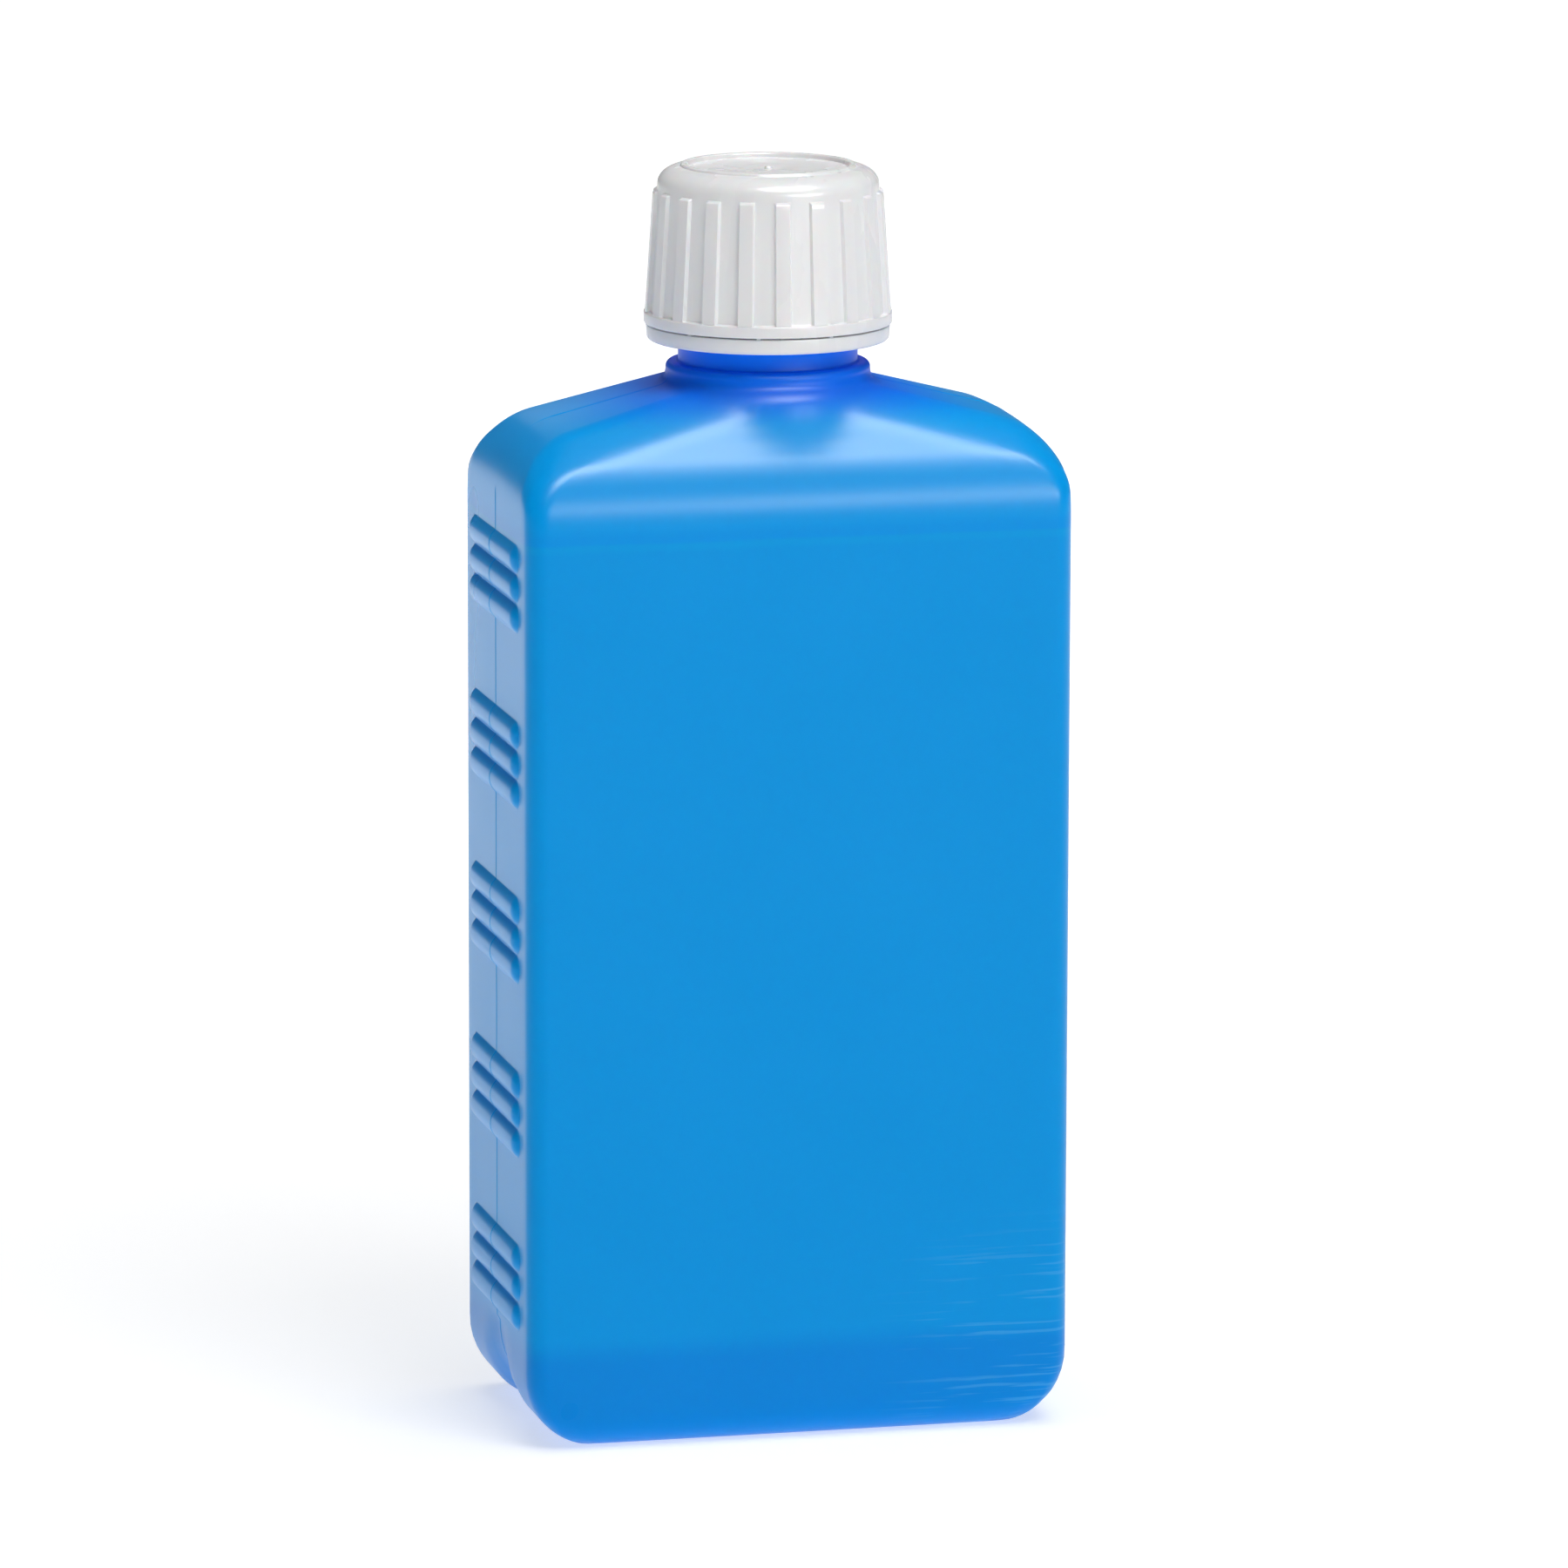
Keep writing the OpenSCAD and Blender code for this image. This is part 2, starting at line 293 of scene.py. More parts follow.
def shell_distance(x, y, z, inset):
    """Distance to the body without its neck root, collar and channel."""
    crown = y * y / (2 * ROOF_CROWN_R) * np.clip((z - WALL_TOP) / CROWN_FADE, 0, 1)
    soft_z = WALL_TOP + (FRONT_EDGE_R - SOFT_EDGE_R) * math.tan(FRONT_TURN / 2)
    front = outline_distance(x, z + crown, HALF_W, BASE_CORNER_R, SHOULDER_R, ROOF_TURN, WALL_TOP) + inset
    side = outline_distance(y, z, HALF_D, BASE_EDGE_R, SOFT_EDGE_R, FRONT_TURN, soft_z) + inset
    corner = np.clip(LOW_CORNER_GROWTH * (z - inset), 0, CORNER_R - inset)
    softer = (HIP_R - CORNER_R) * np.clip((z - WALL_TOP) / HIP_FADE, 0, 1)
    return round_intersection(front, side, corner + softer)


def root_distance(x, y, z, inset):
    """Distance to the oval root of the neck: a steep flank under a small ledge."""
    oval = np.hypot(ROOT_SQUEEZE * x, y) - ROOT_TOP[0]
    below = ROOT_TOP[1] - z
    flank = (oval - ROOT_LEAN * below) / math.hypot(1, ROOT_LEAN)
    ledge = 0.95 * (oval * ROOT_LEDGE_RISE - below)
    return round_intersection(flank, ledge, ROOT_LEDGE_R) + 2 * inset


def body_distance(p, inset=0.0):
    x, y, z = p[:, 0], p[:, 1], p[:, 2]
    above = z > ROOT_LOW_Z
    f = shell_distance(x, y, z, inset)
    root = np.where(above, root_distance(x, y, z, inset), 1.0)
    f = round_union(f, root, np.maximum(ROOT_FILLET - inset, TIGHTEST_BLEND))
    collar = np.where(above, np.hypot(x, y) - COLLAR_R + 2 * inset, 1.0)
    f = round_union(f, collar, np.maximum(COLLAR_FILLET - inset, TIGHTEST_BLEND))
    return round_intersection(f, -(channel_distance(x, y, z) - inset), CHANNEL_FILLET)


def project(points, centre, inset=0.0):
    """Slides every point along its ray from the centre until it lies on the body's surface."""
    ray = points - centre
    low = np.full(len(points), 0.55)
    high = np.full(len(points), 1.5)
    for _ in range(40):
        mid = (low + high) / 2
        inside = body_distance(centre + ray * mid[:, None], inset) < 0
        low = np.where(inside, mid, low)
        high = np.where(inside, high, mid)
    return centre + ray * ((low + high) / 2)[:, None]


# ---- the lines of the body's mesh ------------------------------------------

def mirrored(values):
    values = sorted(values)
    return np.array([-v for v in reversed(values) if v > 0] + values)


def side_lines():
    """Places across a narrow side: close together at the seam and where the ribs' round ends are."""
    end = RIB_LEN / 2
    flat = HALF_D - CORNER_R
    round_end = [end - RIB_PITCH / 2 * (1 - math.sin(a)) for a in np.linspace(0, math.pi / 2, 9)]
    return mirrored([0, 0.1 * MM, 0.22 * MM, 0.5 * MM, 2 * MM, 5 * MM, 8 * MM, 11 * MM, *round_end,
                     end + 0.12 * MM, end + 0.6 * MM, end + 1.6 * MM, flat])


def outline_samples():
    """Points round the body's upright walls, counter-clockwise from the front of the right side."""
    corner = np.linspace(0, math.pi / 2, 9)[1:-1]
    fx, fy = HALF_W - CORNER_R, HALF_D - CORNER_R
    broad = np.linspace(fx, -fx, 19)
    points = []
    points += [(HALF_W, y) for y in side_lines()]
    points += [(fx + CORNER_R * math.cos(a), fy + CORNER_R * math.sin(a)) for a in corner]
    points += [(x, HALF_D) for x in broad]
    points += [(-fx - CORNER_R * math.sin(a), fy + CORNER_R * math.cos(a)) for a in corner]
    points += [(-HALF_W, y) for y in side_lines()[::-1]]
    points += [(-fx - CORNER_R * math.cos(a), -fy - CORNER_R * math.sin(a)) for a in corner]
    points += [(x, -HALF_D) for x in broad[::-1]]
    points += [(fx + CORNER_R * math.sin(a), -fy - CORNER_R * math.cos(a)) for a in corner]
    return np.array(points)


def rib_centres():
    middle = (RIBS - 1) / 2
    return [FIRST_GROUP_Z + g * GROUP_PITCH + (k - middle) * RIB_PITCH
            for g in range(RIB_GROUPS) for k in range(RIBS)]


def wall_lines():
    """Heights of the rings on the upright walls, following the ribs' sections."""
    half = RIB_PITCH / 2
    near = [half * math.sin(a) for a in np.linspace(0, math.pi / 2, 8)]
    lines = {round(c + s * d, 7) for c in rib_centres() for d in near for s in (-1, 1)}
    reach = RIBS * half
    for g in range(RIB_GROUPS):
        c = FIRST_GROUP_Z + g * GROUP_PITCH
        lines |= {round(c + s * (reach + d * MM), 7) for d in (0.15, 0.8, 2.6, 4.6) for s in (-1, 1)}
    lines = sorted(z for z in lines if RIB_LINE_LOW < z < RIB_LINE_HIGH)
    kept = [lines[0]]
    for z in lines[1:]:
        if z - kept[-1] > CLOSEST_LINES:
            kept.append(z)
    return kept


def rib_height(y, z):
    """How far the narrow side stands out at a place on it: bars of round section with round ends."""
    half = (RIB_PITCH - RIB_LAND) / 2
    proud = RIB_PROUD - SEAM_WALL_H
    r = (half * half + proud * proud) / (2 * proud)
    over = np.maximum(np.abs(y) - (RIB_LEN / 2 - half), 0)
    highest = np.full_like(y, -1.0)
    for c in rib_centres():
        q = over * over + (z - c) ** 2
        highest = np.maximum(highest, np.sqrt(np.maximum(r * r - q, 0)) - (r - proud))
    return 0.5 * (highest + np.sqrt(highest * highest + RIB_SOFT * RIB_SOFT))


def panel_sag(x, z):
    """The broad faces sink a little between their edges, and wander slightly, as blown walls do."""
    u = np.clip(1 - (x / (HALF_W - PANEL_EDGE)) ** 2, 0, 1)
    w = smooth_step((z - PANEL_LOW_Z) / PANEL_FADE) * smooth_step((PANEL_HIGH_Z - z) / PANEL_FADE)
    wander = 0.5 + 0.3 * np.sin(x * 95 + z * 40) + 0.2 * np.sin(z * 120 - x * 33 + 1.3)
    return PANEL_SAG * u * w * wander


def inset_outline(points, inset):
    """The outline moved inwards by inset, corner centres kept."""
    fx, fy = HALF_W - CORNER_R, HALF_D - CORNER_R
    core = np.stack([np.clip(points[:, 0], -fx, fx), np.clip(points[:, 1], -fy, fy)], 1)
    return core + (points - core) * (1 - inset / CORNER_R)


def collar_angles(outline):
    """Angles round the neck for the mesh's lines: half by direction and half evenly spread, so none crowd."""
    polar = np.unwrap(np.arctan2(outline[:, 1], outline[:, 0]))
    even = polar[0] + np.arange(len(outline)) / len(outline) * 2 * math.pi
    even += (polar - even).mean()
    return 0.5 * polar + 0.5 * even


def raise_seam(rings, seam, sign):
    """Raises the parting line on the narrow sides and on the roof."""
    for ring in rings:
        z = ring[seam, 2]
        ring[seam, 0] += sign[seam] * SEAM_WALL_H * np.where(z < WALL_TOP, 1.0, 0.0)
        ring[seam, 2] += SEAM_ROOF_H * np.clip((z - ROOF_SEAM_Z) / ROOF_SEAM_FADE, 0, 1)


def wall_ring(ring, full, inset):
    """Adds the ribs, outside only, and the broad faces' sag to one ring of the upright walls."""
    z = ring[0, 2]
    side = np.abs(full[:, 0]) > HALF_W - ON_FACE
    broad = ~side & (np.abs(full[:, 1]) > HALF_D - ON_FACE)
    if inset == 0:
        ring[side, 0] += np.sign(full[side, 0]) * rib_height(full[side, 1], z)
    ring[broad, 1] -= np.sign(full[broad, 1]) * panel_sag(full[broad, 0], z)
    return ring


def body_rings(inset=0.0, top_radius=COLLAR_R, top_z=COLLAR_WALL_Z):
    """Rings of points from the centre of the base up to the foot of the collar, and their angles there."""
    full = outline_samples()
    outline = inset_outline(full, inset)
    n = len(outline)
    low_centre = np.array([0, 0, LOW_CENTRE_Z])
    high_centre = np.array([0, 0, HIGH_CENTRE_Z])

    def at(scale, z):
        return np.column_stack([outline * scale, np.full(n, z)])

    rings = [project(at(scale, inset), low_centre, inset) for scale in BASE_SCALES]
    for z in FOOT_LINES:
        rings.append(project(at(1.0, max(z * MM, inset + 0.3 * MM)), low_centre, inset))
    rings += [wall_ring(at(1.0, z), full, inset) for z in wall_lines()]
    rings += [project(at(1.0, z * MM), high_centre, inset) for z in SHOULDER_LINES]
    angle = collar_angles(full)
    collar = np.column_stack([top_radius * np.cos(angle), top_radius * np.sin(angle), np.full(n, top_z)])
    start = at(1.0, ROOF_START_Z)
    for i in range(ROOF_STEPS):
        s = (i / ROOF_STEPS) ** ROOF_CROWDING
        rings.append(project(start * (1 - s) + collar * s, high_centre, inset))
    rings.append(collar)
    if inset == 0:
        on_side = np.abs(full[:, 0]) > HALF_W - ON_FACE
        raise_seam(rings, on_side & (np.abs(full[:, 1]) < 0.05 * MM), np.sign(full[:, 0]))
    return rings, angle


# ---- pieces ----------------------------------------------------------------

def neck_section():
    """The outside of the neck from the collar up to the rim, then the bore down to its foot."""
    edge, groove, rim_r, mouth_r = 0.9 * MM, 0.4 * MM, 0.6 * MM, 0.45 * MM
    top = COLLAR_TOP_Z
    over_bead = BEAD_Z + BEAD_H
    out = [(COLLAR_R, top - edge - 0.2 * MM)]
    out += arc_points((COLLAR_R - edge, top - edge), edge, 0, 90, 6)
    out.append((NECK_R + 2 * groove, top))
    out += arc_points((NECK_R + groove, top + groove), groove, 270, 180, 4)
    out += [(NECK_R, top + 2 * MM), (NECK_R, BEAD_Z - 0.2 * MM), (NECK_R + 0.1 * MM, BEAD_Z)]
    out += [(BEAD_R - 0.3 * MM, BEAD_Z), (BEAD_R, BEAD_Z + 0.25 * MM), (BEAD_R, BEAD_Z + 0.55 * MM)]
    out += [(NECK_R + 0.5 * MM, over_bead - 0.4 * MM), (NECK_R, over_bead), (NECK_R, over_bead + 1.4 * MM)]
    out += [(NECK_R, 180 * MM), (NECK_R, 186 * MM), (NECK_R, RIM_Z - 0.8 * MM)]
    out += arc_points((NECK_R - rim_r, RIM_Z - rim_r), rim_r, 0, 90, 5)
    out += arc_points((BORE_R + mouth_r, RIM_Z - mouth_r), mouth_r, 90, 180, 4)
    out += [(BORE_R, z * MM) for z in (186, 178, 170, 165, 163)]
    out.append((BORE_R + 0.25 * MM, 161.8 * MM))
    return out


def make_bottle(material):
    outer, angle = body_rings()
    inner, _ = body_rings(WALL, INNER_TOP_R, INNER_TOP_Z)
    rings = outer + revolve(neck_section(), angle) + inner[::-1]
    n = len(angle)
    verts = flat_verts(rings)
    faces = ring_faces(len(rings), n)
    close_ends(verts, faces, 0, (len(rings) - 1) * n, n, rings[0][:, 2].mean(), rings[-1][:, 2].mean())
    add_part(verts, faces, helix_ridge(NECK_R - SUNK, NECK_CREST_R, NECK_THREAD_Z, NECK_TURNS))
    obj = new_object("bottle_shell", verts, faces, material)
    return tidy_mesh(obj, sharp_degrees=50)


SURFACE_SCALES = (1.0, 0.996, 0.985, 0.96, 0.7, 0.35)  # rings of the liquid's surface, which dips from
SURFACE_DROPS = (0.25, 0.45, 0.6, 0.66, 0.66, 0.66)  # the wall inwards by these heights, in millimetres


def make_liquid(material):
    """The contents, a small gap inside the wall, with a meniscus round the surface."""
    gap = WALL + LIQUID_GAP
    rings, angle = body_rings(gap)
    n = len(angle)
    rings = [r for r in rings if r[:, 2].max() < FILL_Z - 0.6 * MM]
    top = inset_outline(outline_samples(), gap)
    for scale, drop in zip(SURFACE_SCALES, SURFACE_DROPS):
        rings.append(np.column_stack([top * scale, np.full(n, FILL_Z - drop * MM)]))
    verts = flat_verts(rings)
    faces = ring_faces(len(rings), n)
    close_ends(verts, faces, 0, (len(rings) - 1) * n, n, rings[0][:, 2].mean(), rings[-1][0, 2])
    obj = new_object("liquid_fill", verts, faces, material)
    return tidy_mesh(obj, sharp_degrees=60)


# ---- cap -------------------------------------------------------------------

RIB_COUNT = 20
RIB_PHASE = math.radians(11.7)
RIB_HALF = math.radians(3.55)
RIB_FLANK = math.radians(0.55)
RIB_H = 0.65 * MM
RIB_TOP_Z = 189.8 * MM
FLANGE_R = cap_high.x
FLANGE_TOP_Z = 171.3 * MM
SHELL_LOW_R = 18.15 * MM
SHELL_HIGH_R = 16.9 * MM
DOME_LOW_Z = 190.6 * MM
RECESS_R = 12.3 * MM
CAP_TOP_Z = cap_high.z
RECESS_Z = CAP_TOP_Z - 0.8 * MM
PLATE_UNDER_Z = liner_high.z + 0.02 * MM
POINT_H = 0.35 * MM  # the moulding point in the middle of the recess


def shell_radius(z):
    t = np.clip((z - FLANGE_TOP_Z) / (DOME_LOW_Z - FLANGE_TOP_Z), 0, 1)
    return SHELL_LOW_R + (SHELL_HIGH_R - SHELL_LOW_R) * t


def cap_angles():
    """Angles round the cap: close together on both flanks of each rib."""
    edge = RIB_HALF + RIB_FLANK
    half = [RIB_HALF * 0.7, RIB_HALF - 0.35 * RIB_FLANK, RIB_HALF, RIB_HALF + 0.35 * RIB_FLANK,
            RIB_HALF + 0.7 * RIB_FLANK, edge]
    gap = 2 * math.pi / RIB_COUNT - 2 * edge
    local = [-a for a in reversed(half)] + [0] + half + [edge + gap * f for f in (0.15, 0.38, 0.62, 0.85)]
    return np.array([RIB_PHASE + i * 2 * math.pi / RIB_COUNT + a for i in range(RIB_COUNT) for a in local])


def rib_strength(angle):
    """1 on a rib, 0 between ribs, with a rounded flank."""
    step = 2 * math.pi / RIB_COUNT
    off = np.abs((angle - RIB_PHASE + step / 2) % step - step / 2)
    return smooth_step((RIB_HALF + RIB_FLANK - off) / (1.35 * RIB_FLANK))


def flange_section():
    """(radius, height, how much of a rib stands there), from the flange's foot to the shell's foot."""
    f, top, low = FLANGE_R, FLANGE_TOP_Z, cap_low.z
    shell = shell_radius(top)
    return [(CAP_BORE_R + 0.5 * MM, low, 0), (f - 0.25 * MM, low, 0), (f - 0.07 * MM, low + 0.07 * MM, 0),
            (f, low + 0.25 * MM, 0), (f, top - 0.25 * MM, 0), (f - 0.03 * MM, top - 0.1 * MM, 0),
            (f - 0.1 * MM, top - 0.02 * MM, 0), (f - 0.2 * MM, top, 0),
            (f - 0.35 * MM, top + 0.02 * MM, 0.45),
            (shell + 0.12 * MM, top + 0.04 * MM, 1), (shell + 0.03 * MM, top + 0.12 * MM, 1),
            (shell, top + 0.3 * MM, 1)]


def shell_section():
    """The ribbed shell, with the ribs' rounded tops."""
    levels = [(z * MM, 1) for z in (173, 176, 179, 182, 185, 187.5, 188.7)]
    tops = ((0.35, 0.98), (0.22, 0.9), (0.12, 0.72), (0.04, 0.45), (-0.02, 0.2), (-0.12, 0.0), (-0.3, 0.0))
    levels += [(RIB_TOP_Z - below * MM, k) for below, k in tops]
    return [(float(shell_radius(z)), z, k) for z, k in levels]


def dome_section():
    """The domed edge as a quarter oval, then the bead round the recess."""
    bead, top = RECESS_R + 1.1 * MM, CAP_TOP_Z
    rise = top - 0.4 * MM - DOME_LOW_Z
    oval = [(bead + (SHELL_HIGH_R - bead) * math.cos(a), DOME_LOW_Z + rise * math.sin(a), 0)
            for a in np.linspace(0, math.pi / 2, 12)]
    return oval + [(bead - 0.06 * MM, top - 0.3 * MM, 0), (bead - 0.14 * MM, top - 0.1 * MM, 0),
                   (bead - 0.32 * MM, top, 0), (RECESS_R + 0.35 * MM, top, 0),
                   (RECESS_R + 0.15 * MM, top - 0.08 * MM, 0), (RECESS_R + 0.05 * MM, top - 0.25 * MM, 0),
                   (RECESS_R, top - 0.5 * MM, 0)]


def recess_section():
    """The recessed top, with a shallow dimple round the small moulding point in its middle."""
    z = RECESS_Z
    return [(RECESS_R - 0.08 * MM, z + 0.08 * MM, 0), (RECESS_R - 0.3 * MM, z, 0), (9 * MM, z - 0.01 * MM, 0),
            (5 * MM, z, 0), (2.4 * MM, z, 0), (2.0 * MM, z - 0.1 * MM, 0), (1.3 * MM, z - 0.14 * MM, 0),
            (0.62 * MM, z - 0.12 * MM, 0), (0.55 * MM, z + 0.12 * MM, 0), (0.42 * MM, z + 0.3 * MM, 0),
            (0.15 * MM, z + POINT_H - 0.01 * MM, 0)]


def cap_inner_section():
    """From the middle of the underside of the top plate out and down the bore to the flange's foot."""
    under, low, bore = PLATE_UNDER_Z, cap_low.z, CAP_BORE_R
    section = [(0.15 * MM, under), (6 * MM, under), (bore - 0.6 * MM, under)]
    section += [(bore - 0.15 * MM, under - 0.12 * MM), (bore, under - 0.52 * MM)]
    section += [(bore, z * MM) for z in (186, 180, 175, 171)]
    return section + [(bore, low + 0.6 * MM), (bore + 0.3 * MM, low + 0.12 * MM)]


def cap_outer_rings(angles):
    strength = rib_strength(angles)
    rings = []
    for r, z, k in flange_section() + shell_section() + dome_section() + recess_section():
        stand = RIB_H * k * strength
        if k:
            stand = np.minimum(stand, FLANGE_R - 0.12 * MM - r)
        radius = r + np.maximum(stand, 0)
        rings.append(np.stack([radius * np.cos(angles), radius * np.sin(angles), np.full(len(angles), z)], 1))
    return rings


def make_cap(material):
    """The cap as one closed shell: outside, underside and bore, and the thread inside."""
    angles = cap_angles()
    n = len(angles)
    outer = cap_outer_rings(angles)
    inner = revolve(cap_inner_section(), angles)
    verts = flat_verts(outer + inner)
    inner_start = len(outer) * n
    last = inner_start + (len(inner) - 1) * n
    faces = ring_faces(len(outer), n) + ring_faces(len(inner), n, start=inner_start)
    faces += [(last + k, last + (k + 1) % n, (k + 1) % n, k) for k in range(n)]
    close_ends(verts, faces, inner_start - n, inner_start, n, RECESS_Z + POINT_H, PLATE_UNDER_Z)
    add_part(verts, faces, helix_ridge(CAP_BORE_R + SUNK, CAP_CREST_R, CAP_THREAD_Z, CAP_TURNS))
    obj = new_object("cap_shell", verts, faces, material)
    return tidy_mesh(obj, sharp_degrees=42)


# ---- band and liner ---------------------------------------------------------

BAND_R = 18.6 * MM
BAND_BORE_R = 16.3 * MM
BAND_LIP_R = 14.15 * MM
BAND_TOP_Z = 169.25 * MM
BAND_EDGE_R = 0.6 * MM
BRIDGES = 10
BRIDGE_HALF = 0.4 * MM
BRIDGE_TAPER = 0.12 * MM
BRIDGE_OUT = 0.55 * MM


def band_section():
    """The ring's closed outline: hooked lip inside, rounded foot, upright outside and flat top."""
    low, top, bore, lip = band_low.z, BAND_TOP_Z, BAND_BORE_R, BAND_LIP_R
    section = [(lip, 167.45 * MM), (lip + 0.12 * MM, 167.3 * MM), (bore, low + 0.12 * MM)]
    section.append((BAND_R - 0.75 * MM, low))
    section += arc_points((BAND_R - 0.7 * MM, low + BAND_EDGE_R), BAND_EDGE_R, 270, 350, 6)
    section += [(BAND_R - 0.06 * MM, low + 1.1 * MM), (BAND_R, top - 0.2 * MM)]
    section += [(BAND_R - 0.04 * MM, top - 0.06 * MM), (BAND_R - 0.18 * MM, top)]
    section += [(bore + 0.15 * MM, top), (bore, top - 0.1 * MM)]
    return section + [(bore, 168.75 * MM), (lip + 0.15 * MM, 168.32 * MM), (lip, 168.2 * MM)]


def bridge_stub(angle):
    """The tapered stub of one parted bridge on top of the ring."""
    c, s = math.cos(angle), math.sin(angle)
    middle = (BAND_R + BAND_BORE_R) / 2 + BRIDGE_OUT
    verts = []
    for half, z in ((BRIDGE_HALF, BAND_TOP_Z - 0.2 * MM), (BRIDGE_HALF - BRIDGE_TAPER, band_high.z)):
        for du, dv in ((-half, -half), (half, -half), (half, half), (-half, half)):
            r = middle + du
            verts.append((r * c - dv * s, r * s + dv * c, z))
    return verts, [(0, 3, 2, 1), (4, 5, 6, 7), (0, 1, 5, 4), (1, 2, 6, 5), (2, 3, 7, 6), (3, 0, 4, 7)]


def make_band(material):
    """The tamper ring with the parted bridges along its top."""
    angles = np.linspace(0, 2 * math.pi, 192, endpoint=False)
    rings = revolve(band_section(), angles)
    verts = flat_verts(rings)
    faces = ring_faces(len(rings), len(angles), closed_loop=True)
    for i in range(BRIDGES):
        add_part(verts, faces, bridge_stub(2 * math.pi * i / BRIDGES))
    obj = new_object("tamper_ring", verts, faces, material)
    return tidy_mesh(obj, sharp_degrees=42)


def make_liner(material):
    """The sealing disc: a foam wad with rounded edges and a faint print of the rim."""
    r, low, high = liner_high.x, liner_low.z, liner_high.z
    edge, middle, print_z = 0.25 * MM, low + 0.03 * MM, low + 0.1 * MM
    section = [(0.2 * MM, middle), (6 * MM, middle), (BORE_R - 0.2 * MM, middle)]
    section += [(BORE_R + 0.1 * MM, print_z), (NECK_R - 0.2 * MM, print_z)]
    section += [(NECK_R + 0.1 * MM, low + 0.02 * MM), (r - 0.35 * MM, low)]
    section += arc_points((r - edge, low + edge), edge, 270, 360, 4)
    section += arc_points((r - edge, high - edge), edge, 0, 90, 4)
    section += [(8 * MM, high), (0.2 * MM, high)]
    angles = np.linspace(0, 2 * math.pi, 128, endpoint=False)
    rings = revolve(section, angles)
    n = len(angles)
    verts = flat_verts(rings)
    faces = ring_faces(len(rings), n)
    close_ends(verts, faces, 0, (len(rings) - 1) * n, n, middle, high)
    obj = new_object("liner_disc", verts, faces, material)
    return tidy_mesh(obj, sharp_degrees=42)


# ---- materials -------------------------------------------------------------

class Nodes:
    """A small helper that adds and joins shader nodes."""

    def __init__(self, name):
        self.material = bpy.data.materials.new(name)
        self.material.use_nodes = True
        self.tree = self.material.node_tree
        self.tree.nodes.clear()
        self.out = self.add("ShaderNodeOutputMaterial")
        self.object = self.add("ShaderNodeTexCoord").outputs["Object"]

    def add(self, kind, **values):
        node = self.tree.nodes.new(kind)
        for key, value in values.items():
            setattr(node, key, value)
        return node

    def join(self, source, target):
        self.tree.links.new(source, target)

    def maths(self, operation, a, b=None, c=None, clamp=False):
        node = self.add("ShaderNodeMath", operation=operation, use_clamp=clamp)
        for i, value in enumerate((a, b, c)):
            if value is None:
                continue
            if isinstance(value, (int, float)):
                node.inputs[i].default_value = value
            else:
                self.join(value, node.inputs[i])
        return node.outputs[0]

    def noise(self, scale, detail=3.0, roughness=0.5, stretch=None):
        node = self.add("ShaderNodeTexNoise")
        node.inputs["Scale"].default_value = scale
        node.inputs["Detail"].default_value = detail
        node.inputs["Roughness"].default_value = roughness
        source = self.object
        if stretch:
            mapping = self.add("ShaderNodeMapping")
            mapping.inputs["Scale"].default_value = stretch
            self.join(self.object, mapping.inputs["Vector"])
            source = mapping.outputs[0]
        self.join(source, node.inputs["Vector"])
        return node.outputs["Fac"]

    def span(self, value, low, high, to_low=0.0, to_high=1.0, smooth=True):
        node = self.add("ShaderNodeMapRange", interpolation_type="SMOOTHSTEP" if smooth else "LINEAR")
        self.join(value, node.inputs["Value"])
        for key, number in zip(("From Min", "From Max", "To Min", "To Max"), (low, high, to_low, to_high)):
            node.inputs[key].default_value = number
        return node.outputs["Result"]

    def mix(self, factor, a, b):
        node = self.add("ShaderNodeMix", data_type="RGBA")
        self.join(factor, node.inputs[0])
        for socket, value in ((node.inputs[6], a), (node.inputs[7], b)):
            if isinstance(value, tuple):
                socket.default_value = (*value, 1.0)
            else:
                self.join(value, socket)
        return node.outputs[2]

    def bump(self, height, strength, distance):
        node = self.add("ShaderNodeBump")
        node.inputs["Strength"].default_value = strength
        node.inputs["Distance"].default_value = distance
        self.join(height, node.inputs["Height"])
        return node.outputs["Normal"]

    def principled(self, **values):
        node = self.add("ShaderNodeBsdfPrincipled")
        for key, value in values.items():
            socket = node.inputs[key.replace("_", " ")]
            if isinstance(value, (int, float, tuple)):
                socket.default_value = value
            else:
                self.join(value, socket)
        return node


BLUE_WALL = (0.0, 0.35, 0.92)
BLUE_FILLED = (0.0, 0.335, 0.87)
# Deeper blue for the neck and its root: partly the thicker neck wall, partly painted shade under the cap and
# round the neck's root.
BLUE_THICK_NECK_AND_SHADE = (0.0, 0.175, 1.0)
# Painted shade: the walls' blue darker towards the bottom, where the bottle stands on the table.
BLUE_BASE_SHADE = (0.0, 0.268, 0.83)
# Painted highlight and painted shade along the liquid's level.
LEVEL_HIGHLIGHT = (0.0, 0.38, 0.88)
LEVEL_SHADE = (0.0, 0.30, 0.87)
BLUE_RUBBED = (0.08, 0.45, 0.92)
BASE_SHADE_Z = 15 * MM
LEVEL_WAVER = 0.6 * MM
THICK_NECK_AND_SHADE_LOW_Z = 155.5 * MM
THICK_NECK_AND_SHADE_HIGH_Z = 161 * MM
SKIN_SHINE = (0.24, 0.26, 0.24, 1.0)


